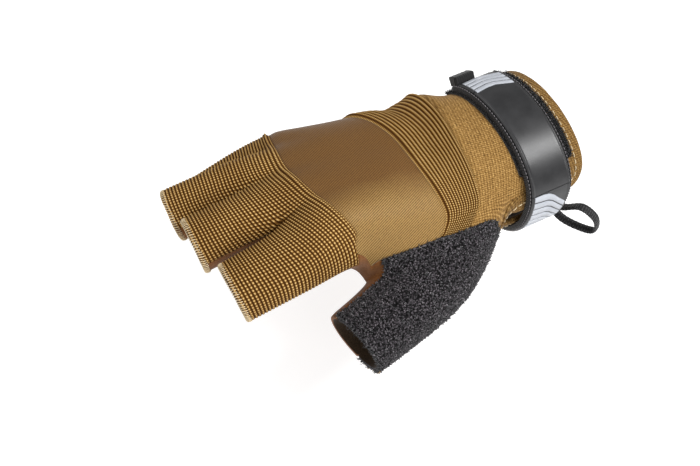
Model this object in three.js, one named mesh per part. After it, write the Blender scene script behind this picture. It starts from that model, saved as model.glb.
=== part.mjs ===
// Half-finger work glove for the right hand, millimetres, +Z up.
// The cuff opening is centred on the origin, the fingers point along -Y, the back of the hand faces
// +Z and the thumb is on the +X side. The glove keeps the shape it has when it is worn.
import * as THREE from 'three'

// Sections across the hand from the cuff to the knuckles: centre, three turns in degrees,
// half width, height above and below, roundness above and below, spread of the columns, knuckle
// hump, and the sweep of the little-finger and index ends toward the cuff.
const BODY = [
  { x: -2, y: -3.4, z: 0, yaw: 0, pitch: 0, roll: 0, w: 29.5, up: 20.3, down: 28, n: 2, low: 2.4 },
  { x: -2, y: -9, z: 0, yaw: 0, pitch: 0, roll: 0, w: 29.5, up: 20, down: 28, n: 2, low: 2.4 },
  { x: -2, y: -19, z: 0, yaw: 0, pitch: 0, roll: 0, w: 29.5, up: 20, down: 28, n: 2, low: 2.4 },
  { x: -2, y: -30, z: 0, yaw: 0, pitch: 0, roll: 0, w: 29.5, up: 20, down: 28, n: 2, low: 2.4 },
  {
    x: -2, y: -36.5, z: 0, yaw: -3, pitch: 1, roll: 0, w: 30.2, up: 20.5, down: 26, n: 2.1, low: 2.4,
  },
  {
    x: -3, y: -46, z: 0, yaw: -12, pitch: 4, roll: 2, w: 33, up: 21, down: 22.5, n: 2.3, low: 2.3,
    spread: 0.4,
  },
  {
    x: -3, y: -72, z: 1, yaw: -4, pitch: 4, roll: 4, w: 35, up: 21, down: 20, n: 2.4, low: 2.4,
    spread: 0.6, little: -12, index: 6,
  },
  {
    x: -6.6, y: -94, z: 3, yaw: -6, pitch: -4, roll: 10, w: 36.6, up: 22, down: 18, n: 2.5, low: 2.5,
    spread: 0.8, little: -8, index: 8,
  },
  {
    x: -9, y: -114, z: 5, yaw: -6, pitch: -13, roll: 16, w: 38, up: 19, down: 17, n: 2.6, low: 2.6,
    spread: 1, hump: 1, little: 6, index: 13,
  },
]
// The wrist slit opens the cuff on the thumb side over these rows and columns.
const SLIT_ROWS = [0, 4]
const SLIT_COLS = [17, 19]

// Finger stubs from the little finger to the index: centre and half sizes at the web and the hem.
const FINGERS = [
  { web: [-39.6, -117, -3.8], hem: [-45.5, -141, -21], w: 9, h: 9.8, hemW: 9.3, hemH: 9.8, roll: 30 },
  { web: [-26.5, -124, 7.2], hem: [-33, -155, -4], w: 9.4, h: 11, hemW: 9.7, hemH: 11, roll: 16 },
  { web: [-7.4, -125, 12], hem: [-11, -157, 3], w: 10.3, h: 11.5, hemW: 11, hemH: 11.5, roll: 5 },
  { web: [17, -123.5, 11.4], hem: [14.5, -154, 2], w: 12.4, h: 13.2, hemW: 12.2, hemH: 12, roll: 0 },
]
const FINGER_STEPS = 3

// Rings of the thumb tube: centre, heading from +X toward -Y, dip, half width and half height.
const THUMB = [
  { at: [37, -82, -13.5], yaw: 34, dip: 10, w: 21, h: 15.5 },
  { at: [41, -101, -17], yaw: 58, dip: 12, w: 15.5, h: 14 },
  { at: [43, -116, -20], yaw: 80, dip: 14, w: 14.2, h: 13 },
]
// The thumb tube leaves the hand between these rows and columns.
const THUMB_ROWS = [4, 8]
const THUMB_COLS = [16, 20]
// How far down to the first thumb ring the towelling is sewn in, at each point of the opening.
const THUMB_SEAM = [0.15, 0.13, 0.13, 0.13, 0.13, 0.3, 0.5, 0.5, 0.5, 0.5, 0.5, 0.7, 0.84, 0.68, 0.27, 0.3]

const RING = 36
const EDGE = THREE.MathUtils.degToRad(22)
const SEAM_GAP = 0.26
const WALL = 1.4

const rad = THREE.MathUtils.degToRad
const vec = (a) => new THREE.Vector3(a[0], a[1], a[2])
const mean = (points) => {
  const sum = points.reduce((s, p) => s.add(p), new THREE.Vector3())
  return sum.multiplyScalar(1 / points.length)
}

function sectionFrame(row) {
  const a = rad(row.yaw)
  const p = rad(row.pitch)
  const r = rad(row.roll)
  const back = new THREE.Vector3(
    -Math.sin(a) * Math.cos(p), Math.cos(a) * Math.cos(p), -Math.sin(p))
  const lat = new THREE.Vector3(Math.cos(a), Math.sin(a), 0)
  const up = new THREE.Vector3().crossVectors(lat, back)
  const tilted = lat.clone().multiplyScalar(Math.cos(r)).addScaledVector(up, Math.sin(r))
  const raised = up.clone().multiplyScalar(Math.cos(r)).addScaledVector(lat, -Math.sin(r))
  return { back, lat: tilted, up: raised }
}

// A ring of the hand: 17 columns over the back, one point on the index side, 17 columns
// under the palm and one point on the little-finger side.
function bodyRing(row) {
  const { back, lat, up } = sectionFrame(row)
  const centre = vec([row.x, row.y, row.z])
  const spread = row.spread ?? 0
  const little = row.little ?? 0
  const index = row.index ?? 0
  const column = (col, side) => {
    const s = col / 8 - 1
    const round = Math.sin(s * (Math.PI / 2 - EDGE))
    const across = (1 - spread) * round + spread * s * Math.cos(EDGE)
    const n = side > 0 ? row.n : row.low
    const arch = (1 - Math.abs(across) ** n) ** (1 / n)
    const hump = (row.hump ?? 0) * Math.abs(Math.sin(Math.PI * col / 4))
    const height = side > 0 ? row.up * arch + hump : -row.down * arch - hump
    const sweep = little * Math.max(-s, 0) ** 1.5 + index * Math.max(s, 0) ** 1.5
    return centre.clone().addScaledVector(lat, row.w * across)
      .addScaledVector(up, height).addScaledVector(back, sweep)
  }
  const ring = []
  for (let col = 0; col <= 16; col++) ring.push(column(col, 1))
  ring.push(centre.clone().addScaledVector(lat, row.w).addScaledVector(back, index))
  for (let col = 16; col >= 0; col--) ring.push(column(col, -1))
  ring.push(centre.clone().addScaledVector(lat, -row.w).addScaledVector(back, little))
  return ring
}

function fingerRing(finger, f) {
  const web = vec(finger.web)
  const hem = vec(finger.hem)
  const axis = web.clone().sub(hem).normalize()
  const lat = new THREE.Vector3().crossVectors(axis, new THREE.Vector3(0, 0, 1)).normalize()
  const up = new THREE.Vector3().crossVectors(lat, axis)
  const r = rad(finger.roll)
  const u = lat.clone().multiplyScalar(Math.cos(r)).addScaledVector(up, Math.sin(r))
  const v = up.clone().multiplyScalar(Math.cos(r)).addScaledVector(lat, -Math.sin(r))
  const w = finger.w * (1 - f) + finger.hemW * f
  const h = finger.h * (1 - f) + finger.hemH * f
  const centre = web.clone().lerp(hem, f)
  return Array.from({ length: 12 }, (_, i) => {
    const a = rad(150 - 30 * i)
    return centre.clone().addScaledVector(u, w * Math.cos(a)).addScaledVector(v, h * Math.sin(a))
  })
}

function thumbRing(ring, count) {
  const a = rad(ring.yaw)
  const d = rad(ring.dip)
  const axis = new THREE.Vector3(
    Math.cos(a) * Math.cos(d), -Math.sin(a) * Math.cos(d), -Math.sin(d))
  const top = new THREE.Vector3(0, 0, 1).addScaledVector(axis, -axis.z).normalize()
  const out = new THREE.Vector3().crossVectors(top, axis)
  const start = (THUMB_COLS[1] - THUMB_COLS[0]) / 2
  return Array.from({ length: count }, (_, i) => {
    const t = 2 * Math.PI * (start - i) / count
    return vec(ring.at).addScaledVector(out, ring.w * Math.cos(t))
      .addScaledVector(top, ring.h * Math.sin(t))
  })
}

// Which panel a face of the hand belongs to, from its row and column.
function bodyPanel(row, col) {
  const onBack = col === 35 || col < 16
  if (row < 4) return 'wrist_panel'
  if (row < 5) return onBack ? 'wrist_panel' : 'palm_panel'
  if (row === 5) return onBack ? 'ribbed_band' : 'palm_panel'
  if (row < 8) return onBack ? 'knuckle_panel' : 'palm_panel'
  return onBack || col < 18 ? 'finger_back' : 'palm_panel'
}

const SIDEWALLS = ['sidewall_little_ring', 'sidewall_ring_middle', 'sidewall_middle_index']

function fingerPanel(k, i) {
  if (i < 5 || i === 11) return 'finger_back'
  if (i < 6) return k === 3 ? 'finger_back' : SIDEWALLS[k]
  if (i < 10) return 'palm_panel'
  return k === 0 ? 'finger_back' : SIDEWALLS[k - 1]
}

// The coarse net of the whole glove: points, four-sided faces and the panel of each face.
function coarseNet() {
  const points = []
  const faces = []
  const panels = []
  const add = (p) => points.push(p) - 1
  const addFace = (a, b, c, d, panel) => {
    faces.push([a, b, c, d])
    panels.push(panel)
  }

  const rings = BODY.map((row) => bodyRing(row).map(add))
  const roots = FINGERS.map((finger) => fingerRing(finger, 0))
  const web = new Array(RING)
  for (let c = 0; c <= 16; c++) {
    const k = Math.floor(c / 4)
    const j = c % 4
    const top = []
    const low = []
    if (k < 4) {
      top.push(roots[k][j])
      low.push(roots[k][10 - j])
    }
    if (j === 0 && k > 0) {
      top.push(roots[k - 1][4])
      low.push(roots[k - 1][6])
    }
    web[c] = add(mean(top))
    web[34 - c] = add(mean(low))
  }
  web[17] = add(roots[3][5])
  web[35] = add(roots[0][11])
  const mids = [web[35], 0, 0, 0, web[17]]
  for (const k of [1, 2, 3]) mids[k] = add(mean([roots[k][11], roots[k - 1][5]]))
  rings.push(web)

  const [r0, r1] = THUMB_ROWS
  const [c0, c1] = THUMB_COLS
  const within = (value, range) => value >= range[0] && value < range[1]
  for (let r = 0; r < rings.length - 1; r++) {
    for (let i = 0; i < RING; i++) {
      if (within(r, THUMB_ROWS) && within(i, THUMB_COLS)) continue
      if (within(r, SLIT_ROWS) && within(i, SLIT_COLS)) continue
      const j = (i + 1) % RING
      addFace(rings[r][i], rings[r + 1][i], rings[r + 1][j], rings[r][j], bodyPanel(r, i))
    }
  }

  FINGERS.forEach((finger, k) => {
    let prev = []
    for (let j = 0; j < 5; j++) prev.push(web[4 * k + j])
    prev.push(mids[k + 1])
    for (let j = 4; j >= 0; j--) prev.push(web[34 - 4 * k - j])
    prev.push(mids[k])
    for (let step = 1; step <= FINGER_STEPS; step++) {
      const ring = fingerRing(finger, step / FINGER_STEPS).map(add)
      for (let i = 0; i < 12; i++) {
        const j = (i + 1) % 12
        addFace(prev[i], ring[i], ring[j], prev[j], fingerPanel(k, i))
      }
      prev = ring
    }
  })

  let loop = []
  for (let i = c0; i < c1; i++) loop.push(rings[r0][i])
  for (let r = r0; r < r1; r++) loop.push(rings[r][c1])
  for (let i = c1; i > c0; i--) loop.push(rings[r1][i])
  for (let r = r1; r > r0; r--) loop.push(rings[r][c0])
  const first = thumbRing(THUMB[0], loop.length)
  const seam = loop.map((v, i) => points[v].clone().lerp(first[i], THUMB_SEAM[i]))
  const thumbRings = [seam, first, ...THUMB.slice(1).map((row) => thumbRing(row, loop.length))]
  thumbRings.forEach((place, step) => {
    const ring = place.map(add)
    for (let i = 0; i < loop.length; i++) {
      const j = (i + 1) % loop.length
      let panel = i >= 6 && i < 12 ? 'palm_panel' : 'thumb_panel'
      if (step === 0 && i < 4) panel = 'wrist_panel'
      if (step === 0 && i > 10) panel = bodyPanel(Math.min(r1 + 11 - i, 7), 0)
      addFace(loop[i], ring[i], ring[j], loop[j], panel)
    }
    loop = ring
  })
  return { points, faces, panels }
}

// One round of smoothing: every face becomes four, open edges stay on their own curve.
function refine({ points, faces, panels }) {
  const facePoints = faces.map((f) => mean(f.map((i) => points[i])))
  const edges = new Map()
  const key = (a, b) => (a < b ? a * 100000 + b : b * 100000 + a)
  faces.forEach((f, k) => {
    f.forEach((a, i) => {
      const b = f[(i + 1) % 4]
      const id = key(a, b)
      if (!edges.has(id)) edges.set(id, { a, b, faces: [] })
      edges.get(id).faces.push(k)
    })
  })

  const around = points.map(() => ({ faces: [], mids: [], rim: [] }))
  faces.forEach((f, k) => f.forEach((i) => around[i].faces.push(facePoints[k])))
  for (const e of edges.values()) {
    e.mid = mean([points[e.a], points[e.b]])
    around[e.a].mids.push(e.mid)
    around[e.b].mids.push(e.mid)
    if (e.faces.length === 1) {
      around[e.a].rim.push(e.mid)
      around[e.b].rim.push(e.mid)
    }
  }

  const out = points.map((p, i) => {
    const near = around[i]
    if (near.rim.length === 2) return mean([mean(near.rim), p])
    const n = near.faces.length
    if (n === 0) return p.clone()
    return mean(near.faces).addScaledVector(mean(near.mids), 2)
      .addScaledVector(p, n - 3).multiplyScalar(1 / n)
  })
  for (const e of edges.values()) {
    const inside = e.faces.length === 2
    const sum = [points[e.a], points[e.b], ...e.faces.map((k) => facePoints[k])]
    e.index = out.push(inside ? mean(sum) : e.mid) - 1
  }

  const newFaces = []
  const newPanels = []
  faces.forEach((f, k) => {
    const centre = out.push(facePoints[k]) - 1
    f.forEach((a, i) => {
      const next = edges.get(key(a, f[(i + 1) % 4])).index
      const last = edges.get(key(a, f[(i + 3) % 4])).index
      newFaces.push([a, next, centre, last])
      newPanels.push(panels[k])
    })
  })
  return { points: out, faces: newFaces, panels: newPanels }
}

function pointNormals({ points, faces }) {
  const normals = points.map(() => new THREE.Vector3())
  for (const f of faces) {
    const [a, b, c, d] = f.map((i) => points[i])
    const n = new THREE.Vector3().crossVectors(c.clone().sub(a), d.clone().sub(b))
    for (const i of f) normals[i].add(n)
  }
  return normals.map((n) => n.normalize())
}

// A closed shell from a patch of four-sided faces: the outer skin, the inner skin and the rim.
function shell(faces, outer, inner) {
  const rim = new Map()
  for (const f of faces) {
    f.forEach((a, i) => {
      const b = f[(i + 1) % 4]
      if (rim.has(b * 100000 + a)) rim.delete(b * 100000 + a)
      else rim.set(a * 100000 + b, [a, b])
    })
  }
  const number = new Map()
  const position = []
  const place = (i, side) => {
    const id = 2 * i + side
    if (!number.has(id)) {
      number.set(id, position.length / 3)
      const p = side === 0 ? outer(i) : inner(i)
      position.push(p.x, p.y, p.z)
    }
    return number.get(id)
  }
  const index = []
  const quad = (a, b, c, d) => index.push(a, b, c, a, c, d)
  for (const f of faces) {
    quad(...f.map((i) => place(i, 0)))
    quad(...[...f].reverse().map((i) => place(i, 1)))
  }
  for (const [a, b] of rim.values()) {
    const wall = [place(b, 0), place(a, 0), place(a, 1), place(b, 1)]
    if (a > b) wall.push(wall.shift())
    quad(...wall)
  }
  return meshGeometry(position, index)
}

function meshGeometry(position, index) {
  const geometry = new THREE.BufferGeometry()
  geometry.setAttribute('position', new THREE.Float32BufferAttribute(position, 3))
  geometry.setIndex(index)
  geometry.computeVertexNormals()
  return geometry
}

// A fabric panel: its edge is drawn back a little, so that a seam line stays open all round.
function panelGeometry(net, normals, name, wall) {
  const faces = net.faces.filter((_, k) => net.panels[k] === name)
  const count = new Map()
  const pull = new Map()
  for (const f of faces) {
    const centre = mean(f.map((i) => net.points[i]))
    f.forEach((a, i) => {
      const b = f[(i + 1) % 4]
      const id = a < b ? a * 100000 + b : b * 100000 + a
      count.set(id, (count.get(id) ?? 0) + 1)
      if (!pull.has(a)) pull.set(a, [])
      pull.get(a).push(centre)
    })
  }
  const edge = new Set()
  for (const [id, n] of count) {
    if (n === 1) {
      edge.add(Math.floor(id / 100000))
      edge.add(id % 100000)
    }
  }
  const outer = (i) => {
    const p = net.points[i].clone()
    if (edge.has(i)) {
      const way = mean(pull.get(i)).sub(p)
      way.addScaledVector(normals[i], -way.dot(normals[i])).normalize()
      p.addScaledVector(way, SEAM_GAP)
    }
    return p
  }
  const inner = (i) => outer(i).addScaledVector(normals[i], -wall)
  return shell(faces, outer, inner)
}

// The cuff is round above and squarer below, from its edge to the front of the strap.
const CUFF = { x: -2, w: 29.5, up: 20, down: 28, low: 2.4 }

function cuffPoint(degrees, y, off) {
  const a = rad(degrees)
  const above = Math.sin(a) >= 0
  const power = 2 / (above ? 2 : CUFF.low)
  const part = (t) => Math.sign(t) * Math.abs(t) ** power
  const grade = (t) => Math.sign(t) * Math.abs(t) ** (2 - power)
  const h = above ? CUFF.up : CUFF.down
  const n = new THREE.Vector2(grade(Math.cos(a)) / CUFF.w, grade(Math.sin(a)) / h).normalize()
  return new THREE.Vector3(
    CUFF.x + CUFF.w * part(Math.cos(a)) + n.x * off, y, h * part(Math.sin(a)) + n.y * off)
}

// A band laid on the cuff from one angle to another with softened corners.
function cuffBand({ from, to, front, rear, off, thick, corner = 1, steps = 40, rows = 3 }) {
  const outer = []
  const inner = []
  const faces = []
  const length = Math.abs(rad(to - from)) * 25
  for (let i = 0; i <= steps; i++) {
    const t = i / steps
    const fromEnd = Math.min(t, 1 - t) * length
    const cut = Math.max(corner - fromEnd, 0)
    const inset = corner - Math.sqrt(Math.max(corner * corner - cut * cut, 0))
    for (let j = 0; j <= rows; j++) {
      const y = THREE.MathUtils.lerp(rear - inset, front + inset, j / rows)
      const angle = THREE.MathUtils.lerp(from, to, t)
      outer.push(cuffPoint(angle, y, off + thick))
      inner.push(cuffPoint(angle, y, off))
    }
  }
  const at = (i, j) => i * (rows + 1) + j
  for (let i = 0; i < steps; i++) {
    for (let j = 0; j < rows; j++) {
      faces.push([at(i, j), at(i, j + 1), at(i + 1, j + 1), at(i + 1, j)])
    }
  }
  const turned = to > from ? faces.map((f) => [...f].reverse()) : faces
  return shell(turned, (i) => outer[i], (i) => inner[i])
}

// A rod swept along a path; each section is a flat oval held upright by a guide direction.
function sweptRod(path, guide, wide, thick, sides, closed) {
  const position = []
  const index = []
  const n = path.length
  path.forEach((p, i) => {
    const next = path[closed ? (i + 1) % n : Math.min(i + 1, n - 1)]
    const last = path[closed ? (i + n - 1) % n : Math.max(i - 1, 0)]
    const along = next.clone().sub(last).normalize()
    const side = new THREE.Vector3().crossVectors(along, guide(i)).normalize()
    const up = new THREE.Vector3().crossVectors(side, along)
    for (let k = 0; k < sides; k++) {
      const a = 2 * Math.PI * k / sides
      const q = p.clone().addScaledVector(side, thick / 2 * Math.cos(a))
        .addScaledVector(up, wide / 2 * Math.sin(a))
      position.push(q.x, q.y, q.z)
    }
  })
  const spans = closed ? n : n - 1
  for (let i = 0; i < spans; i++) {
    const a = i * sides
    const b = ((i + 1) % n) * sides
    for (let k = 0; k < sides; k++) {
      const m = (k + 1) % sides
      index.push(a + k, b + m, a + m, a + k, b + k, b + m)
    }
  }
  if (!closed) {
    for (let k = 1; k < sides - 1; k++) {
      const b = (n - 1) * sides
      index.push(0, k, k + 1, b, b + k + 1, b + k)
    }
  }
  return meshGeometry(position, index)
}

const glove = new THREE.Group()
glove.name = 'tactical_glove'

function addPiece(name, geometry, color, roughness) {
  const material = new THREE.MeshStandardMaterial({ color, roughness, metalness: 0 })
  material.name = name
  const mesh = new THREE.Mesh(geometry, material)
  mesh.name = name
  glove.add(mesh)
}

const net = refine(coarseNet())
const normals = pointNormals(net)
const PANELS = [
  ['wrist_panel', '#8a6a3d', 0.85, WALL],
  ['ribbed_band', '#9a7642', 0.85, WALL],
  ['knuckle_panel', '#7d5a33', 0.6, WALL],
  ['finger_back', '#9a7642', 0.85, WALL],
  ['palm_panel', '#6f4c30', 0.9, WALL],
  ['thumb_panel', '#2b2929', 0.95, WALL],
  ...SIDEWALLS.map((name) => [name, '#5f3f28', 0.9, WALL]),
]
for (const [name, color, roughness, wall] of PANELS) {
  addPiece(name, panelGeometry(net, normals, name, wall), color, roughness)
}

// The open edge of the net that starts at its first point: the cuff and the wrist slit.
function cuffEdge() {
  const sides = new Set()
  const next = new Map()
  const walk = (action) => net.faces.forEach((f) => f.forEach((a, i) => action(a, f[(i + 1) % 4])))
  walk((a, b) => sides.add(`${a},${b}`))
  walk((a, b) => {
    if (!sides.has(`${b},${a}`)) next.set(a, b)
  })
  const loop = [0]
  while (next.get(loop.at(-1)) !== 0) loop.push(next.get(loop.at(-1)))
  return loop
}

// The rolled binding follows the cuff edge and both sides of the wrist slit in one loop.
const edgeLoop = cuffEdge()
const cyclic = (list, i) => list[(i + list.length) % list.length]
const edgeNormals = edgeLoop.map((i) => normals[i])
let bindingPath = edgeLoop.map((v, i) => {
  const along = cyclic(edgeLoop, i + 1)
  const before = cyclic(edgeLoop, i - 1)
  const t = net.points[along].clone().sub(net.points[before]).normalize()
  const out = new THREE.Vector3().crossVectors(t, normals[v]).normalize()
  return net.points[v].clone().addScaledVector(out, 2.15).addScaledVector(normals[v], -0.6)
})
bindingPath = bindingPath.map((p, i) => {
  return mean([p, p, cyclic(bindingPath, i - 1), cyclic(bindingPath, i + 1)])
})
addPiece('cuff_binding',
  sweptRod(bindingPath, (i) => edgeNormals[i], 2.6, 3.1, 6, true), '#8a6a3d', 0.85)

// Hook-and-loop closure: a loop patch on the cuff, the strap over it and the strap's cover.
addPiece('loop_patch', cuffBand({
  from: 157, to: 32, front: -30.6, rear: -4.8, off: 0.3, thick: 0.9, corner: 2, steps: 26, rows: 2,
}), '#161616', 1)
addPiece('strap', cuffBand({
  from: 148, to: -88, front: -29.8, rear: -8.5, off: 1.6, thick: 1.6, corner: 3, steps: 40, rows: 2,
}), '#1b1b1c', 0.8)
addPiece('strap_cover', cuffBand({
  from: 114, to: 12.7, front: -28.6, rear: -9.9, off: 3.5, thick: 0.9, corner: 1, steps: 24, rows: 2,
}), '#3a3a3b', 0.45)
addPiece('chevron_patch_upper', cuffBand({
  from: 135, to: 114.7, front: -28.6, rear: -9.9, off: 3.5, thick: 0.7, corner: 1.5, steps: 8,
  rows: 2,
}), '#b9bcc0', 0.5)
addPiece('chevron_patch_lower', cuffBand({
  from: 12, to: -58, front: -28.6, rear: -9.9, off: 3.5, thick: 0.7, corner: 1.5, steps: 18,
  rows: 2,
}), '#b9bcc0', 0.5)

// The end tab of the strap stands up where the strap is folded back on itself.
addPiece('strap_end_tab', cuffBand({
  from: 147, to: 136, front: -29.2, rear: -19.5, off: 3.5, thick: 4, corner: 1.5, steps: 8,
  rows: 2,
}), '#1b1b1c', 0.8)

// The pull loop is a strip of webbing sewn in behind the strap below the slit.
const PULL = [
  [22.8, -5.2, -19.2], [26.5, -3.8, -18.5], [33, -1, -13], [38.5, 3, -16.5], [39.5, 4, -23.5],
  [35, 1, -25.5], [26.5, -3.4, -25.5], [18, -4.8, -23.4],
]
const pullPath = new THREE.CatmullRomCurve3(PULL.map(vec)).getPoints(18)
const pullGuide = new THREE.Vector3(-0.4, 0.9, 0.1)
addPiece('pull_loop', sweptRod(pullPath, () => pullGuide, 4, 1.5, 8, false), '#151515', 0.9)

export default glove
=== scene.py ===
# A right-hand half-finger work glove with its cloths, stitching, strap and light.
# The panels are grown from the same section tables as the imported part, in millimetres.
import math

import bpy
import numpy as np
from mathutils import Matrix, Vector
from mathutils.bvhtree import BVHTree
from mathutils.kdtree import KDTree


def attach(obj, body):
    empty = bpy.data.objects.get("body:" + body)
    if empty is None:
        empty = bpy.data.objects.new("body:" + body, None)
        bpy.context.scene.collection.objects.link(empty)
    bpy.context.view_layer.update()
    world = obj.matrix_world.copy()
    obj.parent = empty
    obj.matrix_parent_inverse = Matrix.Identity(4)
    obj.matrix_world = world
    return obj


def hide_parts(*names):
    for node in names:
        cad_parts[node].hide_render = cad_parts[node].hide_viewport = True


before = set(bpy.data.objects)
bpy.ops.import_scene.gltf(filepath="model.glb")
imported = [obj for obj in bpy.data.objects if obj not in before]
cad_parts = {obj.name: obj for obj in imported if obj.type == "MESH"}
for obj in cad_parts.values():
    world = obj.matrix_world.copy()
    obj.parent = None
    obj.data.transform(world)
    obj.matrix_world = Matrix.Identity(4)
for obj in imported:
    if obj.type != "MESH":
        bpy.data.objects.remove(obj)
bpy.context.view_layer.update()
MM = 0.001
rng = np.random.default_rng(7)

# Sections across the hand from the cuff to the knuckles.
SECTION = "x y z yaw pitch roll w up down n low spread hump little index".split()
BODY = [
    (-2, -3.4, 0, 0, 0, 0, 29.5, 20.3, 28, 2, 2.4, 0, 0, 0, 0),
    (-2, -9, 0, 0, 0, 0, 29.5, 20, 28, 2, 2.4, 0, 0, 0, 0),
    (-2, -19, 0, 0, 0, 0, 29.5, 20, 28, 2, 2.4, 0, 0, 0, 0),
    (-2, -30, 0, 0, 0, 0, 29.5, 20, 28, 2, 2.4, 0, 0, 0, 0),
    (-2, -36.5, 0, -3, 1, 0, 30.2, 20.5, 26, 2.1, 2.4, 0, 0, 0, 0),
    (-3, -46, 0, -12, 4, 2, 33, 21, 22.5, 2.3, 2.3, 0.4, 0, 0, 0),
    (-3, -72, 1, -4, 4, 4, 35, 21, 20, 2.4, 2.4, 0.6, 0, -12, 6),
    (-6.6, -94, 3, -6, -4, 10, 36.6, 22, 18, 2.5, 2.5, 0.8, 0, -8, 8),
    (-9, -114, 5, -6, -13, 16, 38, 19, 17, 2.6, 2.6, 1, 1, 6, 13),
]
SLIT_ROWS, SLIT_COLS = (0, 4), (17, 19)
THUMB_ROWS, THUMB_COLS = (4, 8), (16, 20)

# Finger stubs: centre at the web and at the hem, half sizes at both, roll.
FINGER = "web hem w h hem_w hem_h roll".split()
FINGERS = [
    ((-39.6, -117, -3.8), (-45.5, -141, -21), 9, 9.8, 9.3, 9.8, 30),
    ((-26.5, -124, 7.2), (-33, -155, -4), 9.4, 11, 9.7, 11, 16),
    ((-7.4, -125, 12), (-11, -157, 3), 10.3, 11.5, 11, 11.5, 5),
    ((17, -123.5, 11.4), (14.5, -154, 2), 12.4, 13.2, 12.2, 12, 0),
]
FINGER_STEPS = 3
# Rings of the thumb tube: centre, heading, dip, half width and half height.
THUMB = [
    ((37, -82, -13.5), 34, 10, 21, 15.5),
    ((41, -101, -17), 58, 12, 15.5, 14),
    ((43, -116, -20), 80, 14, 14.2, 13),
]
# How far down to the first thumb ring the towelling is sewn in, round the opening.
THUMB_SEAM = [0.15, 0.13, 0.13, 0.13, 0.13, 0.3, 0.5, 0.5, 0.5, 0.5, 0.5, 0.7, 0.84, 0.68, 0.27, 0.3]
# Columns 0 to 16 run over the back from the little finger to the index, 17 is the edge there,
# 18 to 34 run back under the palm and 35 is the little finger's edge.
RING = 36
EDGE = math.radians(22)
WALL = 1.4
# After its place, each point of the net keeps the column round the hand, the millimetres
# along the finger and the row from the cuff. The cloths' ribs and reliefs follow these.
COLUMN, ALONG, ROW = 3, 4, 5
BAND_ROW, WEB_ROW = 5, 9


def unit(v):
    return v / np.linalg.norm(v)


def unit_rows(v):
    return v / np.linalg.norm(v, axis=1)[:, None]


def distances(points):
    """The distance travelled to each point of a line."""
    return np.concatenate([[0], np.cumsum(np.linalg.norm(np.diff(points, axis=0), axis=1))])


def bell(offset, width):
    return np.exp(-(offset / width) ** 2)


def oval(centre, u, v, a):
    """The point at an angle on an oval with these half axes."""
    return centre + u * math.cos(a) + v * math.sin(a)


def ring_way(points):
    """The direction of a closed line at each of its points."""
    return unit_rows(np.roll(points, -1, 0) - np.roll(points, 1, 0))


def rolled(lat, up, degrees):
    """The two cross axes of a section, turned about its length."""
    r = math.radians(degrees)
    return lat * math.cos(r) + up * math.sin(r), up * math.cos(r) - lat * math.sin(r)


def body_ring(values):
    """The points round one section of the hand."""
    row = dict(zip(SECTION, values))
    a, p = math.radians(row["yaw"]), math.radians(row["pitch"])
    back = np.array([-math.sin(a) * math.cos(p), math.cos(a) * math.cos(p), -math.sin(p)])
    side = np.array([math.cos(a), math.sin(a), 0.0])
    lat, up = rolled(side, np.cross(side, back), row["roll"])
    centre = np.array([row["x"], row["y"], row["z"]], float)

    def column(col, side):
        s = col / 8 - 1
        rounded = math.sin(s * (math.pi / 2 - EDGE))
        across = (1 - row["spread"]) * rounded + row["spread"] * s * math.cos(EDGE)
        n = row["n"] if side > 0 else row["low"]
        arch = (1 - abs(across) ** n) ** (1 / n)
        hump = row["hump"] * abs(math.sin(math.pi * col / 4))
        height = row["up"] * arch + hump if side > 0 else -row["down"] * arch - hump
        sweep = row["little"] * max(-s, 0) ** 1.5 + row["index"] * max(s, 0) ** 1.5
        return centre + lat * row["w"] * across + up * height + back * sweep

    ring = [column(c, 1) for c in range(17)]
    ring.append(centre + lat * row["w"] + back * row["index"])
    ring += [column(c, -1) for c in range(16, -1, -1)]
    ring.append(centre - lat * row["w"] + back * row["little"])
    return ring


def finger_axes(k):
    t = dict(zip(FINGER, FINGERS[k]))
    web, hem = np.array(t["web"], float), np.array(t["hem"], float)
    axis = unit(web - hem)
    lat = unit(np.cross(axis, [0, 0, 1.0]))
    return t, web, hem, *rolled(lat, np.cross(lat, axis), t["roll"])


def finger_ring(k, f):
    t, web, hem, u, v = finger_axes(k)
    w = t["w"] * (1 - f) + t["hem_w"] * f
    h = t["h"] * (1 - f) + t["hem_h"] * f
    centre = web * (1 - f) + hem * f
    return [oval(centre, u * w, v * h, math.radians(150 - 30 * i)) for i in range(12)]


def thumb_ring(k, count):
    centre, yaw, dip, w, h = THUMB[k]
    a, d = math.radians(yaw), math.radians(dip)
    axis = np.array([math.cos(a) * math.cos(d), -math.sin(a) * math.cos(d), -math.sin(d)])
    top = unit(np.array([0, 0, 1.0]) - axis * axis[2])
    out = np.cross(top, axis)
    start = (THUMB_COLS[1] - THUMB_COLS[0]) / 2
    turns = [2 * math.pi * (start - i) / count for i in range(count)]
    return [oval(np.array(centre), out * w, top * h, t) for t in turns]


def body_panel(row, col):
    """The panel that a face of the body belongs to."""
    on_back = col == 35 or col < 16
    if row < 4:
        return "wrist_panel"
    if row == 8:
        return "finger_back" if on_back or col < 18 else "palm_panel"
    if not on_back:
        return "palm_panel"
    return {4: "wrist_panel", BAND_ROW: "ribbed_band"}.get(row, "knuckle_panel")


SIDEWALLS = ["sidewall_little_ring", "sidewall_ring_middle", "sidewall_middle_index"]


def finger_panel(k, i):
    """The panel that face i round finger k belongs to."""
    if i < 5 or i == 11:
        return "finger_back"
    if i < 6:
        return "finger_back" if k == 3 else SIDEWALLS[k]
    if i < 10:
        return "palm_panel"
    return "finger_back" if k == 0 else SIDEWALLS[k - 1]


def ring_column(i):
    """Columns are counted over the back, and on past both edges of the hand."""
    return i if i < 27 else i - RING


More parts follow.
